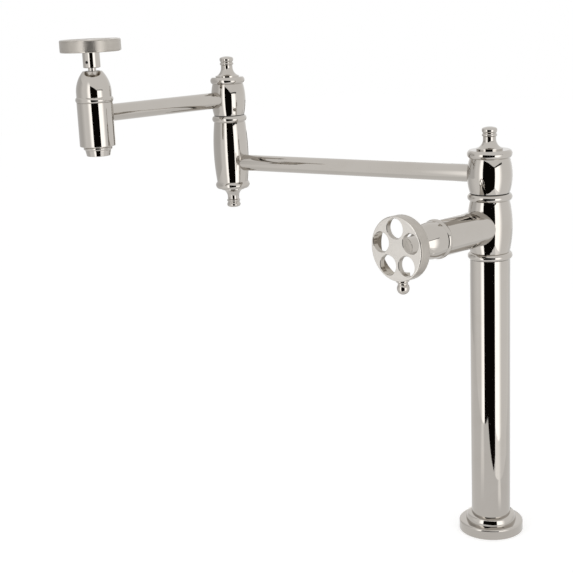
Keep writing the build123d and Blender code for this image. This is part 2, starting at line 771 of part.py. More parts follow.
# Swivel on the column: post, seals, washer, nut, barrel, cap and finial
post_seat = upright(column_at, body_top)
barrel_seat = upright(column_at, barrel_foot)
nut_at = barrel_top - nut_step + face_gap
swivel_post, swivel_seals = post(
    post_seat, post_r, post_spigot_r, post_spigot, post_thread_r,
    lower_arm_z - body_top, nut_at - body_top, nut_at + nut_h - body_top,
)
write(swivel_post, "swivel_post")
write(swivel_seals, "swivel_seals")
write(plain_ring(post_seat, barrel_bore_r, washer_r, 0, washer_h), "swivel_washer")
write(slotted_nut(post_seat, post_thread_r + screw_gap, nut_r, nut_at - body_top), "swivel_nut")

arm_end = barrel_bore_r + arm_seat_wall
with BuildPart() as swivel_barrel:
    with BuildSketch(barrel_seat):
        with BuildLine():
            foot = Line((barrel_bore_r, 0), (barrel_end_r, 0))
            side = ThreePointArc(foot @ 1, (barrel_r, barrel_h / 2), (barrel_end_r, barrel_h))
            Polyline(side @ 1, (barrel_bore_r, barrel_h), (barrel_bore_r, 0))
        make_face()
        band(0, nut_r + spare_gap, barrel_h - nut_step, barrel_h, mode=Mode.SUBTRACT)
    revolve(axis=turning_axis(barrel_seat))
    with BuildSketch(along(column_at, lower_arm_z, lower_dir, arm_end)):
        Circle(arm_r + screw_gap)
    extrude(amount=barrel_r, mode=Mode.SUBTRACT)
    with BuildSketch(along(column_at, lower_arm_z, lower_dir, 0)):
        Circle(arm_r - arm_wall)
    extrude(amount=barrel_r, mode=Mode.SUBTRACT)
write(swivel_barrel.part, "swivel_barrel")
cap_seat = upright(column_at, barrel_top)
write(beaded_cap(cap_seat, cap_r, barrel_end_r, cap_h, nut_r + spare_gap), "swivel_cap")
write(finial(upright(column_at, cap_top)), "swivel_finial")

# Lower arm, from the swivel barrel to the elbow barrel
elbow_arm_end = elbow_bore_r + arm_seat_wall
with BuildPart() as lower_arm:
    with BuildSketch(along(column_at, lower_arm_z, lower_dir, arm_end)):
        Circle(arm_r)
        Circle(arm_r - arm_wall, mode=Mode.SUBTRACT)
    extrude(amount=lower_arm_len - arm_end - elbow_arm_end)
write(lower_arm.part, "lower_arm")

# Elbow, the half that the lower arm carries
elbow_seat = upright(elbow_at, elbow_foot_z)
back_dir = lower_dir * -1
with BuildPart() as elbow_barrel:
    with BuildSketch(elbow_seat):
        with BuildLine():
            foot = Line((elbow_bore_r, 0), (elbow_barrel_end_r, 0))
            side = ThreePointArc(
                foot @ 1, (elbow_barrel_r, elbow_barrel_h / 2), (elbow_barrel_end_r, elbow_barrel_h)
            )
            bead = ThreePointArc(
                side @ 1,
                (elbow_bead_r, elbow_barrel_h + elbow_bead_h / 2),
                (elbow_barrel_end_r, elbow_barrel_h + elbow_bead_h),
            )
            Polyline(bead @ 1, (elbow_bore_r, elbow_barrel_h + elbow_bead_h), (elbow_bore_r, 0))
        make_face()
    revolve(axis=turning_axis(elbow_seat))
    with BuildSketch(along(elbow_at, lower_arm_z, back_dir, elbow_arm_end)):
        Circle(arm_r + screw_gap)
    extrude(amount=elbow_barrel_r, mode=Mode.SUBTRACT)
    with BuildSketch(along(elbow_at, lower_arm_z, back_dir, 0)):
        Circle(arm_r - arm_wall)
    extrude(amount=elbow_barrel_r, mode=Mode.SUBTRACT)
write(elbow_barrel.part, "elbow_barrel")

foot_seat = hanging(elbow_at, elbow_foot_z)
foot_plug_r = elbow_bore_r - screw_gap
foot_cap = beaded_cap(foot_seat, elbow_foot_r, elbow_barrel_end_r, elbow_foot_h, foot_plug_r)
write(foot_cap, "elbow_foot")
write(finial(hanging(elbow_at, elbow_foot_z - elbow_foot_h)), "elbow_drop_finial")

elbow_post_seat = upright(elbow_at, elbow_ring_top)
elbow_nut_at = swivel_top - nut_step + face_gap
elbow_post, elbow_seals = post(
    elbow_post_seat, elbow_post_r, elbow_bore_r, elbow_spigot, elbow_thread_r,
    upper_arm_z - elbow_ring_top, elbow_nut_at - elbow_ring_top, elbow_nut_at + nut_h - elbow_ring_top,
)
write(elbow_post, "elbow_post")
write(elbow_seals, "elbow_seals")
write(plain_ring(elbow_post_seat, swivel_bore_r, elbow_washer_r, 0, washer_h), "elbow_washer")
elbow_nut_low = elbow_nut_at - elbow_ring_top
elbow_nut = slotted_nut(elbow_post_seat, elbow_thread_r + screw_gap, elbow_nut_r, elbow_nut_low)
write(elbow_nut, "elbow_nut")

# Elbow, the half that carries the upper arm
swivel_seat = upright(elbow_at, swivel_foot)
upper_arm_start = swivel_bore_r + arm_seat_wall
with BuildPart() as elbow_swivel:
    with BuildSketch(swivel_seat):
        with BuildLine():
            foot = Line((swivel_bore_r, 0), (elbow_swivel_end_r, 0))
            side = ThreePointArc(
                foot @ 1, (elbow_swivel_r, elbow_swivel_h / 2), (elbow_swivel_end_r, elbow_swivel_h)
            )
            Polyline(side @ 1, (swivel_bore_r, elbow_swivel_h), (swivel_bore_r, 0))
        make_face()
        band(0, elbow_nut_r + spare_gap, elbow_swivel_h - nut_step, elbow_swivel_h, mode=Mode.SUBTRACT)
    revolve(axis=turning_axis(swivel_seat))
    with BuildSketch(along(elbow_at, upper_arm_z, upper_dir, upper_arm_start)):
        Circle(arm_r + screw_gap)
    extrude(amount=elbow_swivel_r, mode=Mode.SUBTRACT)
    with BuildSketch(along(elbow_at, upper_arm_z, upper_dir, 0)):
        Circle(arm_r - arm_wall)
    extrude(amount=elbow_swivel_r, mode=Mode.SUBTRACT)
write(elbow_swivel.part, "elbow_swivel")

elbow_cap_seat = upright(elbow_at, swivel_top)
elbow_plug_r = elbow_nut_r + spare_gap
elbow_cap = beaded_cap(elbow_cap_seat, elbow_cap_r, elbow_swivel_end_r, elbow_cap_h, elbow_plug_r)
write(elbow_cap, "elbow_cap")
write(finial(upright(elbow_at, elbow_cap_top)), "elbow_finial")

# Upper arm, from the elbow to the spout
upper_arm_end = cartridge_flange_r + face_gap
with BuildPart() as upper_arm:
    with BuildSketch(along(elbow_at, upper_arm_z, upper_dir, upper_arm_start)):
        Circle(arm_r)
        Circle(arm_r - arm_wall, mode=Mode.SUBTRACT)
    extrude(amount=upper_arm_len - upper_arm_start - upper_arm_end)
write(upper_arm.part, "upper_arm")

# Spout body: chamber for the cartridge, seat web, thread for the nozzle and socket for the arm
spout_seat = upright(spout_at, spout_foot)
spout_trim = upright(spout_at, spout_trim_z)
trim_up = spout_trim_z - spout_foot
spout_top = trim_up + bonnet_low
fibre_up = trim_up + flange_low - fibre_h
toward_elbow = upper_dir * -1
with BuildPart() as spout_body:
    with BuildSketch(spout_seat):
        band(0, spout_r, 0, spout_top)
        band(0, trim_bore_r, trim_up, spout_top, mode=Mode.SUBTRACT)
        band(0, bonnet_spigot_r + screw_gap, fibre_up, spout_top, mode=Mode.SUBTRACT)
        band(0, trim_seat_bore_r, 0, spout_top, mode=Mode.SUBTRACT)
        band(0, nozzle_thread_r, 0, trim_up - trim_seat_wall, mode=Mode.SUBTRACT)
    revolve(axis=turning_axis(spout_seat))
    fillet(rims(spout_body, spout_r).sort_by(Axis.Z)[0], spout_edge)
    with BuildSketch(along(spout_at, upper_arm_z, toward_elbow, upper_arm_end)):
        Circle(arm_r + screw_gap)
    extrude(amount=spout_r, mode=Mode.SUBTRACT)
    with BuildSketch(along(spout_at, upper_arm_z, toward_elbow, 0)):
        Circle(arm_r - arm_wall)
    extrude(amount=spout_r, mode=Mode.SUBTRACT)
write(spout_body.part, "spout_body")

headwork(spout_trim, "spout")
ball_out = Vector(1, 0, 0).rotate(Axis.Z, spout_ball_angle)
handle(spout_trim, "spout", spout_hub_gap, ball_out)

# Outlet: threaded spigot, rounded lip, waist and tapered tip, with the aerator inside
nozzle_seat = hanging(spout_at, spout_foot)
mesh_r = nozzle_bore_r - aerator_rim
nozzle_lip_low = nozzle_seam + nozzle_lip_h
aerator_low = nozzle_drop - aerator_sink
with BuildPart() as outlet_nozzle:
    with BuildSketch(nozzle_seat):
        with BuildLine():
            spigot = Polyline(
                (0, -nozzle_thread),
                (nozzle_thread_r - screw_gap, -nozzle_thread),
                (nozzle_thread_r - screw_gap, nozzle_seam),
                (nozzle_lip_r - nozzle_edge, nozzle_seam),
            )
            lip = ThreePointArc(
                spigot @ 1,
                (nozzle_lip_r, nozzle_seam + nozzle_lip_h / 2),
                (nozzle_step_r, nozzle_lip_low),
            )
            taper = Polyline(
                lip @ 1,
                (nozzle_step_r, nozzle_lip_low + nozzle_edge),
                (nozzle_tip_r + nozzle_edge, nozzle_drop - nozzle_edge),
                (nozzle_tip_r, nozzle_drop),
            )
            Polyline(taper @ 1, (0, nozzle_drop), (0, -nozzle_thread))
        make_face()
        band(0, nozzle_bore_r - aerator_washer_h, -nozzle_thread, nozzle_drop, mode=Mode.SUBTRACT)
        band(0, nozzle_bore_r, aerator_low - aerator_h - aerator_washer_h, nozzle_drop, mode=Mode.SUBTRACT)
    revolve(axis=turning_axis(nozzle_seat))
write(outlet_nozzle.part, "outlet_nozzle")

with BuildPart() as aerator:
    with BuildSketch(nozzle_seat):
        band(0, nozzle_bore_r - screw_gap, aerator_low - aerator_h, aerator_low)
        band(0, mesh_r, aerator_low - aerator_h, aerator_low - aerator_face_h, mode=Mode.SUBTRACT)
    revolve(axis=turning_axis(nozzle_seat))
    with BuildSketch(cross_plane(nozzle_seat, aerator_low)):
        for ring_r, count in aerator_rows:
            with PolarLocations(ring_r, count):
                Circle(aerator_hole_r)
    extrude(amount=-aerator_face_h, mode=Mode.SUBTRACT)
write(aerator.part, "aerator")

washer_low = aerator_low - aerator_h
washer_top = washer_low - aerator_washer_h
aerator_washer = plain_ring(nozzle_seat, mesh_r, nozzle_bore_r - screw_gap, washer_top, washer_low)
write(aerator_washer, "aerator_washer")
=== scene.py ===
"""Studio scene of a deck mount pot filler in polished nickel, built round its measured frame."""

import json
import logging
import math
from dataclasses import dataclass, field
from enum import Enum
from typing import Sequence, Union

import bmesh
import bpy
from mathutils import Matrix, Vector


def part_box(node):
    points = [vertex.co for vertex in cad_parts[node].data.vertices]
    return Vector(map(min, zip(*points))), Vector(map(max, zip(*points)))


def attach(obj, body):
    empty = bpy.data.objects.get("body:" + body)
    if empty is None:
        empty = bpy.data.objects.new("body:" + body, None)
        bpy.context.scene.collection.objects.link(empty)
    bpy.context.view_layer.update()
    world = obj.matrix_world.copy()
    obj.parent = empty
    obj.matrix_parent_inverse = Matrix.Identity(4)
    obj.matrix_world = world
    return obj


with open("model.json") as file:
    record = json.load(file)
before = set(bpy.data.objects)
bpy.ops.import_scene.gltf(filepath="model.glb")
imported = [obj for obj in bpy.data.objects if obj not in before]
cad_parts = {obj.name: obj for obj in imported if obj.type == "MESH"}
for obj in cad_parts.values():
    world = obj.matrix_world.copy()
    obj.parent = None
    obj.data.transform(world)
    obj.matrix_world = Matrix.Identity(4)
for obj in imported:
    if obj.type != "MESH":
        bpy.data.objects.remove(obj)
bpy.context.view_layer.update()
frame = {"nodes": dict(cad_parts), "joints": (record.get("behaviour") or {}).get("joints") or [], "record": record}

LOG = logging.getLogger("pot_filler")
MM = 0.001
WHITE = (1.0, 1.0, 1.0)
Colour = tuple[float, float, float]
Pair = tuple[float, float]
Socket = bpy.types.NodeSocket
Plug = Union[Socket, float, Sequence[float]]


class Slot(str, Enum):
    """The record's material slots."""

    POLISHED_NICKEL = "polished_nickel"
    SATIN_NICKEL = "satin_nickel"
    BARE_BRASS = "bare_brass"
    BLACK_RUBBER = "black_rubber"
    WHITE_CERAMIC = "white_ceramic"
    RED_FIBRE = "red_fibre"
    DARK_NYLON = "dark_nylon"
    GREY_ACETAL = "grey_acetal"
    STEEL_SCREW = "steel_screw"


class Effect(str, Enum):
    """The shader groups that several finishes share."""

    TURNING_LINES = "Turning lines"
    POLISH_MARKS = "Polish marks"
    FINE_GRAIN = "Fine grain"
    FADE = "Fade across"


class Ray(str, Enum):
    """The rays that a card in the studio can be seen by."""

    GLOSSY = "glossy"
    ALL_BUT_CAMERA = "all but camera"


@dataclass(frozen=True)
class Axle:
    """A line that pieces are turned about: a name, a point on it and its direction."""

    name: str
    centre: Vector
    direction: Vector


class Graph:
    """Adds and joins the nodes of one material, group or world."""

    def __init__(self, tree: bpy.types.NodeTree) -> None:
        """Keep the tree and clear what it starts with.

        Args:
            tree: The node tree to fill.
        """
        self.tree = tree
        tree.nodes.clear()

    def add(self, kind: str, inputs: dict[Union[str, int], Plug] | None = None,
            **settings: object) -> bpy.types.Node:
        """Add one node.

        Args:
            kind: The node's type name.
            inputs: Values or sockets for its inputs, by name or number.
            **settings: Other properties of the node.

        Returns:
            The new node.
        """
        node = self.tree.nodes.new(kind)
        for key, value in settings.items():
            setattr(node, key, value)
        for key, plug in (inputs or {}).items():
            self.feed(node.inputs[key], plug)
        return node

    def feed(self, socket: Socket, plug: Plug) -> None:
        """Set an input to a value, or join a socket to it.

        Args:
            socket: The input.
            plug: A number, a list of numbers or an output socket.
        """
        if isinstance(plug, Socket):
            self.tree.links.new(plug, socket)
        else:
            socket.default_value = plug

    def math(self, operation: str, *plugs: Plug) -> Socket:
        """Return the result of a Math node.

        Args:
            operation: The node's operation.
            *plugs: Its inputs, in order.

        Returns:
            The node's output.
        """
        return self.add("ShaderNodeMath", dict(enumerate(plugs)), operation=operation).outputs[0]

    def vector(self, operation: str, *plugs: Plug) -> bpy.types.Node:
        """Return a Vector Math node.

        Args:
            operation: The node's operation.
            *plugs: Its inputs, in order.

        Returns:
            The node.
        """
        return self.add("ShaderNodeVectorMath", dict(enumerate(plugs)), operation=operation)

    def spread(self, value: Socket, low: float, high: float, to_low: float = 0.0,
               to_high: float = 1.0) -> Socket:
        """Map a value from one range to another, clamped.

        Args:
            value: The socket to map.
            low: Lowest value in.
            high: Highest value in.
            to_low: What the lowest becomes.
            to_high: What the highest becomes.

        Returns:
            The mapped value.
        """
        return self.add("ShaderNodeMapRange", {
            "Value": value, "From Min": low, "From Max": high,
            "To Min": to_low, "To Max": to_high}).outputs["Result"]

    def blend(self, factor: Socket, first: Union[Socket, Colour], second: Union[Socket, Colour]
              ) -> Socket:
        """Run from one colour to another by a factor.

        Args:
            factor: 0 for the first colour and 1 for the second.
            first: The first colour, as a value or a socket.
            second: The second colour, as a value or a socket.

        Returns:
            The mixed colour.
        """
        mix = self.add("ShaderNodeMix", {"Factor": factor}, data_type="RGBA")
        for place, colour in ((6, first), (7, second)):
            self.feed(mix.inputs[place], colour if isinstance(colour, Socket) else (*colour, 1.0))
        return mix.outputs[2]

    def between(self, factor: Socket, first: Plug, second: Plug) -> Socket:
        """Run from one number to another by a factor.

        Args:
            factor: 0 for the first number and 1 for the second.
            first: The first number, as a value or a socket.
            second: The second number, as a value or a socket.

        Returns:
            The mixed number.
        """
        return self.add("ShaderNodeMix", {"Factor": factor, 2: first, 3: second}).outputs[0]

    def noise(self, detail: float, inputs: dict[str, Plug], **settings: object) -> Socket:
        """Return the grey of a noise texture.

        Args:
            detail: How many finer layers it has.
            inputs: Its other inputs, by name.
            **settings: Other properties of the node.

        Returns:
            The grey, from 0 to 1.
        """
        node = self.add("ShaderNodeTexNoise", {**inputs, "Detail": detail}, **settings)
        return node.outputs["Fac"]

    def coordinate(self, kind: str) -> Socket:
        """Return one of the surface's own coordinates, by its name."""
        return self.add("ShaderNodeTexCoord").outputs[kind]

    def bump(self, height: Socket, depth: float) -> Socket:
        """Turn a height into a normal.

        Args:
            height: The height, from 0 to 1.
            depth: How deep 1 is, in metres.

        Returns:
            The bent normal.
        """
        return self.add("ShaderNodeBump", {
            "Height": height, "Distance": depth, "Strength": 1.0}).outputs["Normal"]

    def surface(self, shader: bpy.types.Node) -> None:
        """Make a shader the surface of the material."""
        self.add("ShaderNodeOutputMaterial", {"Surface": shader.outputs[0]})


class EffectLibrary:
    """Builds each shared shader group once, and places it in materials."""

    band_rate: float = 0.06  # broad bands to each fine line
    smear_twist: float = 0.6  # how far the smears are drawn out of shape
    smear_range: Pair = (0.45, 0.75)  # greys at which a smear begins and is full
    hair_turn: tuple[float, ...] = (0.4, 0.9, 0.3)  # which way the hairlines run
    hair_stretch: tuple[float, ...] = (1.0, 0.04, 1.0)  # how thin they are beside their length
    hair_range: Pair = (0.6, 0.75)  # greys at which a hairline begins and is full
    mottle_range: Pair = (0.3, 0.7)  # greys at which the mottling begins and is full

    def __init__(self) -> None:
        """Start with no groups built."""
        self.built: dict[Effect, bpy.types.NodeTree] = {}

    def place(self, graph: Graph, effect: Effect, inputs: dict[str, Plug]) -> bpy.types.Node:
        """Put a group in a material.

        Args:
            graph: The material's graph.
            effect: Which group.
            inputs: Its values in this material.

        Returns:
            The group's node.
        """
        if effect not in self.built:
            makers = {
                Effect.TURNING_LINES: self.turning_lines,
                Effect.POLISH_MARKS: self.polish_marks,
                Effect.FINE_GRAIN: self.fine_grain,
                Effect.FADE: self.fade,
            }
            self.built[effect] = makers[effect]()
        node = graph.add("ShaderNodeGroup", node_tree=self.built[effect])
        for key, plug in inputs.items():
            graph.feed(node.inputs[key], plug)
        return node

    def turned(self, graph: Graph, axle: Axle, lines: float) -> bpy.types.Node:
        """Put the turning lines in a material.

        Args:
            graph: The material's graph.
            axle: The line that the pieces are turned about.
            lines: How many lines there are to a metre.

        Returns:
            The group's node.
        """
        return self.place(graph, Effect.TURNING_LINES, {
            "Centre": tuple(axle.centre), "Axis": tuple(axle.direction), "Lines": lines})

    @staticmethod
    def group(effect: Effect, inputs: dict[str, tuple[str, object]], outputs: dict[str, str]
              ) -> tuple[Graph, bpy.types.Node, bpy.types.Node]:
        """Make an empty group with its sockets.

        Args:
            effect: The group's name.
            inputs: Socket kind and first value of each input.
            outputs: Socket kind of each output.

        Returns:
            The group's graph, its input node and its output node.
        """
        tree = bpy.data.node_groups.new(effect.value, "ShaderNodeTree")
        graph = Graph(tree)
        for name, (kind, value) in inputs.items():
            socket = tree.interface.new_socket(name, in_out="INPUT", socket_type=kind)
            socket.default_value = value
        for name, kind in outputs.items():
            tree.interface.new_socket(name, in_out="OUTPUT", socket_type=kind)
        return graph, graph.add("NodeGroupInput"), graph.add("NodeGroupOutput")

    def turning_lines(self) -> bpy.types.NodeTree:
        """Fine rings that a lathe or a belt leaves round an axis.

        Returns:
            The group, with the lines' height, a broad band pattern and the distance from the axis.
        """
        graph, given, made = self.group(
            Effect.TURNING_LINES,
            {
                "Centre": ("NodeSocketVector", (0.0, 0.0, 0.0)),
                "Axis": ("NodeSocketVector", (0.0, 0.0, 1.0)),
                "Lines": ("NodeSocketFloat", 8000.0),
            },
            {"Height": "NodeSocketFloat", "Bands": "NodeSocketFloat", "Radius": "NodeSocketFloat"},
        )
        place = graph.coordinate("Object")
        arm = graph.vector("SUBTRACT", place, given.outputs["Centre"]).outputs[0]
        along = graph.vector("DOT_PRODUCT", arm, given.outputs["Axis"]).outputs["Value"]
        beside = graph.vector("CROSS_PRODUCT", arm, given.outputs["Axis"]).outputs[0]
        radius = graph.vector("LENGTH", beside).outputs["Value"]
        offset = graph.math("ADD", along, radius)
        count = graph.math("MULTIPLY", offset, given.outputs["Lines"])
        lines = graph.noise(2.0, {"W": count, "Scale": 1.0}, noise_dimensions="1D")
        slow = graph.math("MULTIPLY", count, self.band_rate)
        bands = graph.noise(1.0, {"W": slow, "Scale": 1.0}, noise_dimensions="1D")
        graph.feed(made.inputs["Height"], lines)
        graph.feed(made.inputs["Bands"], bands)
        graph.feed(made.inputs["Radius"], radius)
        return graph.tree

    def polish_marks(self) -> bpy.types.NodeTree:
        """Smears and hairlines that handling and wiping leave on a polished surface.

        Returns:
            The group, with a smear mask and a hairline mask.
        """
        graph, given, made = self.group(
            Effect.POLISH_MARKS,
            {"Smear size": ("NodeSocketFloat", 0.03), "Hairline size": ("NodeSocketFloat", 0.002)},
            {"Smears": "NodeSocketFloat", "Hairlines": "NodeSocketFloat"},
        )
        place = graph.coordinate("Object")
        broad = graph.math("DIVIDE", 1.0, given.outputs["Smear size"])
        smears = graph.noise(4.0, {"Vector": place, "Scale": broad, "Distortion": self.smear_twist})
        fine = graph.math("DIVIDE", 1.0, given.outputs["Hairline size"])
        turned = graph.add("ShaderNodeMapping", {
            "Vector": place, "Rotation": self.hair_turn, "Scale": self.hair_stretch})
        hairs = graph.noise(1.0, {"Vector": turned.outputs[0], "Scale": fine})
        graph.feed(made.inputs["Smears"], graph.spread(smears, *self.smear_range))
        graph.feed(made.inputs["Hairlines"], graph.spread(hairs, *self.hair_range))
        return graph.tree

    def fine_grain(self) -> bpy.types.NodeTree:
        """The fine grain of a moulded, pressed or blasted surface, with slow mottling.

        Returns:
            The group, with the grain's height and a mottling mask.
        """
        graph, given, made = self.group(
            Effect.FINE_GRAIN,
            {"Grain size": ("NodeSocketFloat", 0.0004), "Mottle size": ("NodeSocketFloat", 0.012)},
            {"Height": "NodeSocketFloat", "Mottle": "NodeSocketFloat"},
        )
        place = graph.coordinate("Object")
        grain_scale = graph.math("DIVIDE", 1.0, given.outputs["Grain size"])
        mottle_scale = graph.math("DIVIDE", 1.0, given.outputs["Mottle size"])
        grain = graph.noise(3.0, {"Vector": place, "Scale": grain_scale})
        mottle = graph.noise(5.0, {"Vector": place, "Scale": mottle_scale})
        graph.feed(made.inputs["Height"], grain)
        graph.feed(made.inputs["Mottle"], graph.spread(mottle, *self.mottle_range))
        return graph.tree

    def fade(self) -> bpy.types.NodeTree:
        """A smooth rise across a card and a smooth fall towards its top.

        Returns:
            The group, with the mask of both.
        """
        graph, given, made = self.group(
            Effect.FADE,
            {
                "From": ("NodeSocketFloat", 0.0),
                "To": ("NodeSocketFloat", 1.0),
                "Top": ("NodeSocketFloat", 0.9),
            },
            {"Mask": "NodeSocketFloat"},
        )
        spot = graph.add("ShaderNodeSeparateXYZ", {0: graph.coordinate("UV")}).outputs
        across = graph.add("ShaderNodeMapRange", {
            "Value": spot["X"], "From Min": given.outputs["From"], "From Max": given.outputs["To"]},
            interpolation_type="SMOOTHSTEP")
        upward = graph.add("ShaderNodeMapRange", {
            "Value": spot["Y"], "From Min": given.outputs["Top"], "To Min": 1.0, "To Max": 0.0},
            interpolation_type="SMOOTHSTEP")
        both = graph.math("MULTIPLY", across.outputs["Result"], upward.outputs["Result"])
        graph.feed(made.inputs["Mask"], both)
        return graph.tree


EFFECTS = EffectLibrary()


def new_material(name: str) -> tuple[bpy.types.Material, Graph]:
    """Make an empty node material.

    Args:
        name: The material's name.

    Returns:
        The material and the graph of its nodes.
    """
    material = bpy.data.materials.new(name)
    material.use_nodes = True
    return material, Graph(material.node_tree)


@dataclass(frozen=True)
class PolishedNickel:
    """Nickel plate buffed to a mirror, with a warm tint, faint turning lines and wiping marks."""

    slot: Slot = Slot.POLISHED_NICKEL
    shade: Colour = (0.502, 0.473, 0.437)
    tint: Colour = (0.484, 0.453, 0.415)
    gloss: float = 0.03
    haze: float = 0.03
    hair_haze: float = 0.05
    smear_size: float = 0.035
    hair_size: float = 0.0016
    lines: float = 5000.0
    line_depth: float = 1.2e-7

    def material(self, axle: Axle) -> bpy.types.Material:
        """Build the finish for pieces turned about one axis.

        Args:
            axle: The line that the pieces are turned about.

        Returns:
            The material.
        """
        material, graph = new_material(f"{self.slot.value}_{axle.name}")
        turned = EFFECTS.turned(graph, axle, self.lines)
        marks = EFFECTS.place(graph, Effect.POLISH_MARKS, {
            "Smear size": self.smear_size, "Hairline size": self.hair_size})
        smears = marks.outputs["Smears"]
        smeared = graph.math("MULTIPLY_ADD", smears, self.haze, self.gloss)
        rough = graph.math("MULTIPLY_ADD", marks.outputs["Hairlines"], self.hair_haze, smeared)
        shader = graph.add("ShaderNodeBsdfPrincipled", {
            "Base Color": graph.blend(smears, self.shade, self.tint), "Metallic": 1.0,
            "Roughness": rough, "Normal": graph.bump(turned.outputs["Height"], self.line_depth)})
        graph.surface(shader)
        return material


@dataclass(frozen=True)
class SatinNickel:
    """Nickel plate brushed round a wheel: matt faces with painted light (a paler copy of the plate), a rim and
    walls with painted shade (a darker copy), and glossier hole walls with painted shade towards the rim.
    """

    slot: Slot = Slot.SATIN_NICKEL
    # painted light and shade: the faces take a paler copy of the plate and the rim and walls a darker one, chosen
    # by which way the surface faces
    face_painted_light_low: Colour = (0.645, 0.615, 0.575)
    face_painted_light_high: Colour = (0.70, 0.668, 0.625)
    wall_painted_shade_low: Colour = (0.385, 0.357, 0.32)
    wall_painted_shade_high: Colour = (0.52, 0.488, 0.445)
    # painted shade on the hole walls
    hole_painted_shade: Colour = (0.41, 0.375, 0.325)
    edge_rough: float = 0.09
    face_rough: float = 0.27
    wall_rough: float = 0.32
    hole_rough: float = 0.10
    rough_play: float = 0.05
    grain_size: float = 0.0003
    mottle_size: float = 0.008
    band_share: float = 0.6
    mottle_share: float = 0.4
    face_range: Pair = (0.55, 0.9)  # how squarely a surface faces along the axis to be a face
    edge_range: Pair = (0.40, 0.47)  # how far from half way that is before it isn't an edge
    hole_range: Pair = (0.0215, 0.0262)  # distances from the axis over which painted shade darkens the hole walls
    wheel_edge: float = 0.0281  # distance from the axis past which a wall is the rim
    lines: float = 7000.0
    line_depth: float = 1.6e-6

    def material(self, axle: Axle) -> bpy.types.Material:
        """Build the finish for a wheel on one axis.

        Args:
            axle: The wheel's axis.

        Returns:
            The material.
        """
        material, graph = new_material(f"{self.slot.value}_{axle.name}")
        brushed = EFFECTS.turned(graph, axle, self.lines)
        grain = EFFECTS.place(graph, Effect.FINE_GRAIN, {
            "Grain size": self.grain_size, "Mottle size": self.mottle_size})
        mottle = grain.outputs["Mottle"]
        streaks = graph.math("MULTIPLY", brushed.outputs["Bands"], self.band_share)
        mix = graph.math("MULTIPLY_ADD", mottle, self.mottle_share, streaks)
        normal = graph.add("ShaderNodeNewGeometry").outputs["True Normal"]
        along = graph.vector("DOT_PRODUCT", normal, tuple(axle.direction)).outputs["Value"]
        facing = graph.math("ABSOLUTE", along)
        face = graph.spread(facing, *self.face_range)
        off_half = graph.math("ABSOLUTE", graph.math("SUBTRACT", facing, 0.5))
        edge = graph.spread(off_half, *self.edge_range, 1.0, 0.0)
        radius = brushed.outputs["Radius"]
        # painted shade: the hole walls darken with their distance from the axis, short of the rim
        deep = graph.math("MULTIPLY", graph.spread(radius, *self.hole_range),
                          graph.math("LESS_THAN", radius, self.wheel_edge))
        hole = graph.math("MULTIPLY", deep, graph.math("SUBTRACT", 1.0, face))
        # painted shade on the outer hole walls and on the walls, painted light on the faces
        wall = graph.blend(hole, graph.blend(mix, self.wall_painted_shade_low, self.wall_painted_shade_high), self.hole_painted_shade)
        colour = graph.blend(face, wall, graph.blend(mix, self.face_painted_light_low, self.face_painted_light_high))
        matt = graph.math("MULTIPLY_ADD", mottle, self.rough_play,
                          graph.spread(face, 0.0, 1.0, self.wall_rough, self.face_rough))
        inside = graph.between(hole, matt, self.hole_rough)
        rough = graph.between(edge, inside, self.edge_rough)
        shader = graph.add("ShaderNodeBsdfPrincipled", {
            "Base Color": colour, "Metallic": 1.0, "Roughness": rough,
            "Normal": graph.bump(brushed.outputs["Height"], self.line_depth)})
        graph.surface(shader)
        return material


@dataclass(frozen=True)
class BareMetal:
    """Machined metal with no plating: tool lines, and a little tarnish in random patches."""

    slot: Slot
    clean: Colour
    dull: Colour
    roughness_low: float = 0.2
    roughness_high: float = 0.42
    stain_size: float = 0.009
    scratch_size: float = 0.001
    lines: float = 2500.0
    line_depth: float = 2e-5

    def material(self, axle: Axle) -> bpy.types.Material:
        """Build the finish for pieces turned about one axis.

        Args:
            axle: The line that the pieces are turned about.

        Returns:
            The material.
        """
        material, graph = new_material(f"{self.slot.value}_{axle.name}")
        turned = EFFECTS.turned(graph, axle, self.lines)
        tarnish = EFFECTS.place(graph, Effect.POLISH_MARKS, {
            "Smear size": self.stain_size, "Hairline size": self.scratch_size})
        worn = tarnish.outputs["Smears"]
        shader = graph.add("ShaderNodeBsdfPrincipled", {
            "Base Color": graph.blend(worn, self.clean, self.dull), "Metallic": 1.0,
            "Roughness": graph.spread(worn, 0.0, 1.0, self.roughness_low, self.roughness_high),
            "Normal": graph.bump(turned.outputs["Height"], self.line_depth)})
        graph.surface(shader)
        return material


@dataclass(frozen=True)
class Moulded:
    """A moulded, pressed or fired material with no metal in it: grain and slow mottling."""

    slot: Slot
    dark: Colour
    light: Colour
    roughness_low: float
    roughness_high: float
    grain_size: float = 0.0004
    grain_depth: float = 2e-5
    mottle_size: float = 0.006
    coat: float = 0.0

    def material(self, axle: Axle) -> bpy.types.Material:
        """Build the finish; the axis only names it.

        Args:
            axle: The axis of the pieces that wear it.

        Returns:
            The material.
        """
        material, graph = new_material(f"{self.slot.value}_{axle.name}")
        body = EFFECTS.place(graph, Effect.FINE_GRAIN, {
            "Grain size": self.grain_size, "Mottle size": self.mottle_size})
        mottle = body.outputs["Mottle"]
        shader = graph.add("ShaderNodeBsdfPrincipled", {
            "Base Color": graph.blend(mottle, self.dark, self.light), "Coat Weight": self.coat,
            "Roughness": graph.spread(mottle, 0.0, 1.0, self.roughness_low, self.roughness_high),
            "Normal": graph.bump(body.outputs["Height"], self.grain_depth)})
        graph.surface(shader)
        return material


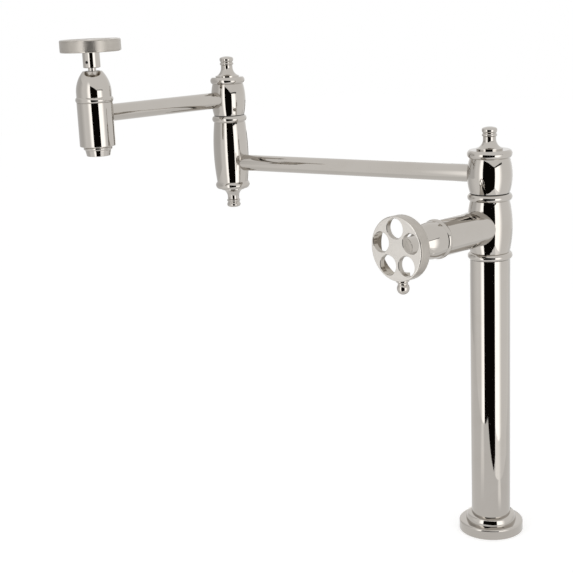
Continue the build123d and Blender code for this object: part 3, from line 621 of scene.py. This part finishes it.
FINISHES = {
    finish.slot: finish
    for finish in (
        PolishedNickel(),
        SatinNickel(),
        BareMetal(Slot.BARE_BRASS, clean=(0.72, 0.53, 0.25), dull=(0.46, 0.31, 0.13)),
        BareMetal(Slot.STEEL_SCREW, clean=(0.10, 0.095, 0.09), dull=(0.05, 0.05, 0.05)),
        Moulded(Slot.BLACK_RUBBER, (0.012, 0.012, 0.012), (0.03, 0.03, 0.03), 0.55, 0.75),
        Moulded(Slot.WHITE_CERAMIC, (0.80, 0.79, 0.76), (0.88, 0.87, 0.84), 0.08, 0.16,
                grain_depth=2e-6, coat=0.3),
        Moulded(Slot.RED_FIBRE, (0.30, 0.07, 0.05), (0.45, 0.13, 0.09), 0.75, 0.92,
                grain_size=0.0008),
        Moulded(Slot.DARK_NYLON, (0.03, 0.03, 0.033), (0.055, 0.055, 0.06), 0.35, 0.5),
        Moulded(Slot.GREY_ACETAL, (0.50, 0.51, 0.52), (0.58, 0.59, 0.60), 0.3, 0.45),
    )
}


def middle(node: str) -> Vector:
    """Return the middle of a CAD node's box at rest."""
    low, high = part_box(node)
    return (Vector(low) + Vector(high)) / 2


def slot_of(node: str) -> Slot:
    """Return the record's material slot of a CAD node."""
    parts = frame["record"]["subparts"]
    return next(Slot(part["material_slot"]) for part in parts if part["node"] == node)


class Dresser:
    """Gives carried-over CAD nodes their finishes, one material for each finish and axis."""

    def __init__(self) -> None:
        """Start with no materials made."""
        self.made: dict[tuple[Slot, str], bpy.types.Material] = {}

    def material(self, slot: Slot, axle: Axle) -> bpy.types.Material:
        """Return the material of a slot for one axis, made when first asked for.

        Args:
            slot: The record's slot.
            axle: The axis of the pieces that wear it.

        Returns:
            The material.
        """
        key = (slot, axle.name)
        if key not in self.made:
            self.made[key] = FINISHES[slot].material(axle)
        return self.made[key]

    def dress(self, node: str, axle: Axle) -> None:
        """Put a CAD node's finish in its material slots.

        Args:
            node: The node's name.
            axle: The axis that it is turned about.
        """
        piece = frame["nodes"][node]
        material = self.material(slot_of(node), axle)
        if not piece.material_slots:
            piece.data.materials.append(material)
        for place in piece.material_slots:
            place.material = material
        LOG.info("%s wears %s", node, material.name)


@dataclass
class Assembly:
    """A sub-assembly: its dresser, axis and CAD nodes, and the body that added pieces ride on."""

    dresser: Dresser
    axle: Axle
    nodes: tuple[str, ...] = ()
    body: str = "stand"

    def build(self) -> None:
        """Build the pieces that the frame doesn't carry; a plain sub-assembly has none."""

    def dress(self) -> None:
        """Give each node of this sub-assembly its finish."""
        for node in self.nodes:
            self.dresser.dress(node, self.axle)

    def add(self, name: str, shape: bmesh.types.BMesh, slot: Slot) -> None:
        """Add a piece that rides on this sub-assembly's body.

        Args:
            name: The piece's name.
            shape: Its mesh in place, in metres, freed here.
            slot: The record's slot that it takes its finish from.
        """
        bmesh.ops.recalc_face_normals(shape, faces=shape.faces)
        mesh = bpy.data.meshes.new(name)
        shape.to_mesh(mesh)
        shape.free()
        mesh.materials.append(self.dresser.material(slot, self.axle))
        piece = bpy.data.objects.new(name, mesh)
        bpy.context.scene.collection.objects.link(piece)
        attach(piece, self.body)
        LOG.info("%s built on %s", name, self.body)


def sweep(shape: bmesh.types.BMesh, sections: Sequence[Sequence[Vector]]) -> None:
    """Skin a row of closed sections and close its two ends.

    Args:
        shape: The mesh to add to.
        sections: Sections with the same count of points, in order.
    """
    rings = [[shape.verts.new(point) for point in section] for section in sections]
    count = len(rings[0])
    for near, far in zip(rings, rings[1:]):
        for corner in range(count):
            following = (corner + 1) % count
            shape.faces.new((near[corner], near[following], far[following], far[corner]))
    shape.faces.new(rings[0])
    shape.faces.new(reversed(rings[-1]))


@dataclass
class Base(Assembly):
    """The flange on the deck, its gasket and collar, and the bush that the supply screws into."""

    nodes: tuple[str, ...] = ("deck_gasket", "base_flange", "base_collar", "inlet_bush")
    thread_wall: float = 9.32 * MM
    thread_length: float = 14.0 * MM
    thread_pitch: float = 1.814 * MM
    thread_depth: float = 0.35 * MM
    thread_seat: float = 0.03 * MM
    thread_steps: int = 48  # sections to a turn
    thread_inset: float = 0.5  # plain wall at each end, in pitches
    ridge_foot: float = 0.42  # half the ridge's width at its foot, in pitches
    ridge_crest: float = 0.1  # half its width at its crest, in pitches
    ridge_start: float = 0.05  # share of its height that the ridge starts with
    ridge_rise: float = 8.0  # how fast it grows from there to its full height

    def build(self) -> None:
        """Wind the supply thread's ridge up the bush's bore, fading out at both ends."""
        inset = self.thread_pitch * self.thread_inset
        half, crest = self.thread_pitch * self.ridge_foot, self.thread_pitch * self.ridge_crest
        run = self.thread_length - 2 * inset
        turns = run / self.thread_pitch
        steps = int(turns * self.thread_steps)
        sections = []
        for step in range(steps + 1):
            share = step / steps
            turn = Matrix.Rotation(math.tau * turns * share, 3, "Z")
            height = inset + run * share
            rising = self.ridge_rise * share + self.ridge_start
            falling = self.ridge_rise * (1 - share) + self.ridge_start
            top = self.thread_wall - self.thread_depth * min(1.0, rising, falling)
            foot = self.thread_wall + self.thread_seat
            outline = ((foot, -half), (top, -crest), (top, crest), (foot, half))
            sections.append([turn @ Vector((radius, 0, height + up)) for radius, up in outline])
        shape = bmesh.new()
        sweep(shape, sections)
        self.add("supply_thread", shape, Slot.BARE_BRASS)


@dataclass
class Column(Assembly):
    """The upright tube, the riser inside it and the body that the branch leaves."""

    nodes: tuple[str, ...] = ("column_tube", "riser_tube", "riser_seals", "valve_body")


@dataclass
class Headwork(Assembly):
    """A valve from its seat ring to its five-hole wheel, with the ball finial on that wheel."""

    prefix: str = "branch"
    others: tuple[str, ...] = ("branch_tube", "feed_pipe")

    def __post_init__(self) -> None:
        """Name the pieces on this valve's axis."""
        kinds = ("seat_ring", "cartridge", "fixed_disc", "cartridge_seal", "bonnet",
                 "turning_disc", "stem", "hub", "set_screw", "wheel")
        self.nodes = (*self.others, *(f"{self.prefix}_{kind}" for kind in kinds))

    def dress(self) -> None:
        """Dress the pieces on the valve's axis, and the ball on its own."""
        super().dress()
        ball = f"{self.prefix}_ball"
        outward = (middle(ball) - middle(f"{self.prefix}_wheel")).normalized()
        self.dresser.dress(ball, Axle(ball, middle(ball), outward))


@dataclass
class Swivel(Assembly):
    """The barrel that turns on the column's post, with its cap and finial."""

    nodes: tuple[str, ...] = ("swivel_post", "swivel_seals", "swivel_washer", "swivel_nut",
                              "swivel_barrel", "swivel_cap", "swivel_finial")


@dataclass
class Arm(Assembly):
    """One plain arm, polished along its tube."""


@dataclass
class Elbow(Assembly):
    """The joint between the arms: the lower barrel with its drop finial, and the swivel over it."""

    nodes: tuple[str, ...] = ("elbow_barrel", "elbow_foot", "elbow_drop_finial", "elbow_post",
                              "elbow_seals", "elbow_washer", "elbow_nut", "elbow_swivel",
                              "elbow_cap", "elbow_finial")


@dataclass
class SpoutHead(Headwork):
    """The spout's body with its valve, and its nozzle with the wire screen inside the aerator."""

    prefix: str = "spout"
    others: tuple[str, ...] = ("spout_body", "outlet_nozzle", "aerator", "aerator_washer")
    body: str = "spout_arm"
    screen_r: float = 7.3 * MM
    screen_above: float = 1.8 * MM
    wire_r: float = 0.11 * MM
    wire_gap: float = 0.8 * MM
    wire_steps: int = 4  # sections from one crossing to the next

    def build(self) -> None:
        """Weave the aerator's screen from two sets of wires that pass over and under each other."""
        low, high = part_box("aerator")
        heart = Vector(((low.x + high.x) / 2, (low.y + high.y) / 2, low.z + self.screen_above))
        count = int(self.screen_r / self.wire_gap)
        east, north = Vector((1, 0, 0)), Vector((0, 1, 0))
        shape = bmesh.new()
        for row in range(-count, count + 1):
            offset = row * self.wire_gap
            reach = math.sqrt(self.screen_r ** 2 - offset ** 2)
            for along, across, phase in ((east, north, 0), (north, east, 1)):
                sweep(shape, self.wire(heart + across * offset, along, across, reach, row + phase))
        self.add("aerator_screen", shape, Slot.STEEL_SCREW)

    def wire(self, heart: Vector, along: Vector, across: Vector, reach: float, row: int
             ) -> list[list[Vector]]:
        """Return the sections of one wire of the weave.

        Args:
            heart: The middle of the wire.
            along: Which way it runs.
            across: The level direction across it.
            reach: Its half length.
            row: Its number, which says whether it starts over or under.

        Returns:
            Its four-sided sections.
        """
        steps = max(2, int(2 * reach / (self.wire_gap / self.wire_steps)))
        lift, side = Vector((0, 0, self.wire_r)), across * self.wire_r
        sections = []
        for step in range(steps + 1):
            place = -reach + 2 * reach * step / steps
            wave = math.cos(math.pi * (place / self.wire_gap + row))
            spot = heart + along * place + lift * wave
            sections.append([spot + lift, spot + side, spot - lift, spot - side])
        return sections


@dataclass(frozen=True)
class Light:
    """How brightly a card glows: a peak, the level at its edge and where it fades between them."""

    peak: float
    edge: float = 1.0
    fade_from: float = 0.0
    fade_to: float = 1.0  # 1 is an even card
    top_from: float = 0.99  # share of its height where it starts to fade towards the top


@dataclass(frozen=True)
class Card:
    """A flat card: lower left, lower right, upper right and upper left corners, light and rays."""

    name: str
    corners: tuple[Sequence[float], ...]
    light: Light
    colour: Colour = WHITE
    ray: Ray = Ray.GLOSSY


def upright(start: Pair, end: Pair, feet: Pair, tops: Pair) -> tuple[Sequence[float], ...]:
    """Lay out an upright card between two points of the plan.

    Args:
        start: Where its left edge stands, in metres.
        end: Where its right edge stands.
        feet: Heights of the lower corners, left and right.
        tops: Heights of the upper corners, left and right.

    Returns:
        The card's corners.
    """
    return (*start, feet[0]), (*end, feet[1]), (*end, tops[1]), (*start, tops[0])


def table_glow(bearing: float, side: float, near: float, far: float
               ) -> tuple[Sequence[float], ...]:
    """Lay out one half of the glow that a light throws along the table towards the column's foot.

    Args:
        bearing: The light's bearing from the column, in degrees, where the glow is brightest.
        side: How far to the side it fades out, in degrees.
        near: Where it begins, from the column's axis, in metres.
        far: Where it ends.

    Returns:
        The card's corners, just above the table, far side first and the faded edge on its left.
    """
    edge, heart = math.radians(bearing + side), math.radians(bearing)
    lift = 1.0 * MM
    return tuple((reach * math.cos(angle), reach * math.sin(angle), lift)
                 for angle, reach in ((edge, far), (heart, far), (heart, near), (edge, near)))


def studio_cards() -> tuple[Card, ...]:
    """Lay out what the metal mirrors: two lights, dark flags, greys, a back light and a table.

    Returns:
        The cards, in metres, as they stand round the object.
    """
    soot, smoke = (0.005, 0.004, 0.003), (0.20, 0.19, 0.175)
    flag_left, flag_near = (0.035, -0.769), (0.45, -0.711)
    flag_far, flag_right = (0.90, -0.649), (1.25, -0.60)
    light_start, light_end = (1.27, -0.59), (0.64, 0.19)
    light_feet, light_tops, hem_tops = (-0.13, -0.39), (0.525, 0.625), (0.565, 0.69)
    side_start, side_end, upper_start = (-0.42, -0.60), (-0.85, 0.15), (-0.428, -0.57)
    side_feet, side_tops = (-0.25, -0.25), (0.86, 0.86)
    back_near, back_middle, back_far = (-0.52, 1.00), (-0.74, 0.86), (-1.00, 0.68)
    back_feet, back_tops = (-0.45, -0.45), (0.33, 0.33)
    table_far, table_level = 1.5, 0.87
    table = ((-table_far, -0.38, 0.0), (0.139, -0.334, 0.0), (0.232, table_far, 0.0),
             (-table_far, table_far, 0.0))
    glows = (  # bearing, fading sides, near and far ends and peak of what each light throws on it
        ("left", -99.0, {"out": -14.0, "in": 11.0}, 0.07, 0.340, 1.17),
        ("right", -4.0, {"out": 12.0, "in": -12.0}, 0.062, 0.154, 1.28),
    )
    return (
        Card("left_light", upright(side_start, flag_left, side_feet, side_tops),
             Light(2.1, fade_from=0.36, fade_to=0.74, top_from=0.78), ray=Ray.ALL_BUT_CAMERA),
        Card("right_light", upright(light_end, light_start, light_feet, light_tops),
             Light(2.2, fade_to=0.36), ray=Ray.ALL_BUT_CAMERA),
        Card("right_foot", upright(light_end, light_start, (-0.50, -0.50), light_feet),
             Light(1.38, fade_to=0.36)),
        Card("right_hem", upright(light_end, light_start, light_tops, hem_tops), Light(1.0), soot),
        Card("flag_left", upright(flag_left, flag_near, (-0.30, -0.36), (0.72, 0.695)),
             Light(1.0), soot),
        Card("flag_middle", upright(flag_near, flag_far, (-0.36, -0.38), (0.695, 0.65)),
             Light(1.0), soot),
        Card("flag_right", upright(flag_far, flag_right, (-0.38, -0.45), (0.65, 0.66)),
             Light(1.0), soot),
        Card("grey_side", upright(side_start, side_end, side_feet, side_tops),
             Light(0.70, fade_to=0.8)),
        Card("back_flag", upright(back_near, back_middle, back_feet, back_tops), Light(1.0), smoke),
        Card("back_light", upright(back_far, back_middle, back_feet, back_tops),
             Light(1.8, fade_to=0.8)),
        Card("grey_upper", upright(upper_start, side_end, (0.24, 0.24), (0.60, 0.60)),
             Light(0.70, edge=0.92, fade_to=0.2)),
        Card("table", table, Light(table_level)),
        *(Card(f"table_glow_{light}_{half}", table_glow(bearing, side, near, far),
               Light(peak, edge=table_level, fade_to=0.9, top_from=0.35))
          for light, bearing, sides, near, far, peak in glows for half, side in sides.items()),
    )


@dataclass
class Studio:
    """The floor, the world and the cards that light the object or are mirrored in it."""

    floor_size: float = 8.0
    floor_drop: float = 0.0004
    floor_colour: Colour = (0.86, 0.86, 0.86)
    floor_lift: float = 0.47
    ambient: float = 0.62
    cards: tuple[Card, ...] = field(default_factory=studio_cards)
    made: list[bpy.types.Object] = field(default_factory=list)

    def build(self) -> None:
        """Build the floor, the world and the cards."""
        self.build_world()
        self.build_floor()
        for card in self.cards:
            self.build_card(card)
        for piece in self.made:
            LOG.info("studio: %s", piece.name)

    @staticmethod
    def glow(card: Card) -> bpy.types.Material:
        """Make the glowing material of a card.

        Args:
            card: The card.

        Returns:
            The material.
        """
        light = card.light
        material, graph = new_material(card.name)
        source = graph.add("ShaderNodeEmission", {
            "Color": (*card.colour, 1.0), "Strength": light.peak})
        if light.fade_to < 1.0:
            fade = EFFECTS.place(graph, Effect.FADE, {
                "From": light.fade_from, "To": light.fade_to, "Top": light.top_from})
            dim = tuple(channel * light.edge / light.peak for channel in card.colour)
            graph.feed(source.inputs["Color"], graph.blend(fade.outputs["Mask"], dim, card.colour))
        graph.surface(source)
        return material

    def build_card(self, card: Card) -> None:
        """Stand one card in the studio.

        Args:
            card: The card.
        """
        mesh = bpy.data.meshes.new(card.name)
        mesh.from_pydata([tuple(corner) for corner in card.corners], [], [(0, 1, 2, 3)])
        spread = mesh.uv_layers.new(name="spread")
        for loop, spot in zip(spread.data, ((0, 0), (1, 0), (1, 1), (0, 1))):
            loop.uv = spot
        mesh.materials.append(self.glow(card))
        piece = bpy.data.objects.new(card.name, mesh)
        bpy.context.scene.collection.objects.link(piece)
        piece.visible_camera = False
        piece.visible_shadow = False
        piece.visible_transmission = False
        piece.visible_diffuse = card.ray is Ray.ALL_BUT_CAMERA
        self.made.append(piece)

    @staticmethod
    def sees_backdrop(graph: Graph) -> Socket:
        """Return 1 for camera, glossy and transmission rays and 0 for the rest.

        Args:
            graph: The graph of the world or the floor.

        Returns:
            The mask.
        """
        path = graph.add("ShaderNodeLightPath").outputs
        either = graph.math("MAXIMUM", path["Is Camera Ray"], path["Is Glossy Ray"])
        return graph.math("MAXIMUM", either, path["Is Transmission Ray"])

    def build_world(self) -> None:
        """Make a white world that lights the object more softly than it shows."""
        world = bpy.data.worlds.new("studio")
        bpy.context.scene.world = world
        world.use_nodes = True
        graph = Graph(world.node_tree)
        strength = graph.spread(self.sees_backdrop(graph), 0.0, 1.0, self.ambient, 1.0)
        air = graph.add("ShaderNodeBackground", {"Color": (*WHITE, 1.0), "Strength": strength})
        graph.add("ShaderNodeOutputWorld", {"Surface": air.outputs[0]})

    def build_floor(self) -> None:
        """Lay a plain pale floor that reads as white but keeps the shadow."""
        material, graph = new_material("floor")
        ground = graph.add("ShaderNodeBsdfDiffuse", {"Color": (*self.floor_colour, 1.0)})
        lift = graph.spread(self.sees_backdrop(graph), 0.0, 1.0, 0.0, self.floor_lift)
        glow = graph.add("ShaderNodeEmission", {"Color": (*WHITE, 1.0), "Strength": lift})
        both = graph.add("ShaderNodeAddShader", {0: ground.outputs[0], 1: glow.outputs[0]})
        graph.surface(both)
        half = self.floor_size / 2
        mesh = bpy.data.meshes.new("floor")
        corners = ((-half, -half), (half, -half), (half, half), (-half, half))
        mesh.from_pydata([(x, y, -self.floor_drop) for x, y in corners], [], [(0, 1, 2, 3)])
        mesh.materials.append(material)
        floor = bpy.data.objects.new("floor", mesh)
        bpy.context.scene.collection.objects.link(floor)
        floor.visible_glossy = False
        self.made.append(floor)


@dataclass(frozen=True)
class PhotoCamera:
    """The photograph's camera, as solved from the turned pieces' edges and ellipses."""

    away: float = 1.15132
    bearing: float = -52.67
    height: float = 0.52555
    heading: float = 137.08
    pitch_down: float = 13.304
    roll: float = -2.488
    lens: float = 76.53
    sensor: float = 36.0
    nearest: float = 0.01

    def build(self) -> None:
        """Create the camera and make it the scene's own."""
        heading, pitch, roll, bearing = map(
            math.radians, (self.heading, self.pitch_down, self.roll, self.bearing))
        level = Vector((math.cos(heading), math.sin(heading), 0))
        side = level.cross(Vector((0, 0, 1)))
        look = level * math.cos(pitch) - Vector((0, 0, math.sin(pitch)))
        above = side.cross(look)
        across = side * math.cos(roll) + above * math.sin(roll)
        upward = above * math.cos(roll) - side * math.sin(roll)
        turn = Matrix((across, upward, -look)).transposed().to_4x4()
        place = Vector((self.away * math.cos(bearing), self.away * math.sin(bearing), self.height))
        data = bpy.data.cameras.new("photo_camera")
        data.lens = self.lens
        data.sensor_width = self.sensor
        data.clip_start = self.nearest
        camera = bpy.data.objects.new("photo_camera", data)
        camera.matrix_world = Matrix.Translation(place) @ turn
        bpy.context.scene.collection.objects.link(camera)
        bpy.context.scene.camera = camera


def turning(name: str, joint: str) -> Axle:
    """Return the axle of the pieces that turn about one of the model's joints."""
    made = next(made for made in frame["joints"] if made["name"] == joint)
    return Axle(name, Vector(made["pos_m"]), Vector(made["axis"]))


def main() -> None:
    """Build the studio, each sub-assembly in order and the camera."""
    logging.basicConfig(level=logging.INFO, format="%(message)s")
    column, branch = turning("column", "swivel_turn"), turning("branch", "valve_turn")
    elbow, spout = turning("elbow", "elbow_turn"), turning("spout", "spout_valve_turn")
    level = Vector((1, 1, 0))
    lower_run = ((elbow.centre - column.centre) * level).normalized()
    upper_run = ((spout.centre - elbow.centre) * level).normalized()
    lower = Axle("lower_arm", middle("lower_arm"), lower_run)
    upper = Axle("upper_arm", middle("upper_arm"), upper_run)
    dresser = Dresser()
    Studio().build()
    for assembly in (
        Base(dresser, column),
        Column(dresser, column),
        Headwork(dresser, branch),
        Swivel(dresser, column, body="swivel_arm"),
        Arm(dresser, lower, ("lower_arm",), "swivel_arm"),
        Elbow(dresser, elbow, body="swivel_arm"),
        Arm(dresser, upper, ("upper_arm",), "spout_arm"),
        SpoutHead(dresser, spout),
    ):
        assembly.build()
        assembly.dress()
    PhotoCamera().build()
    bpy.context.scene.view_settings.view_transform = "Standard"


if __name__ == "__main__":
    main()
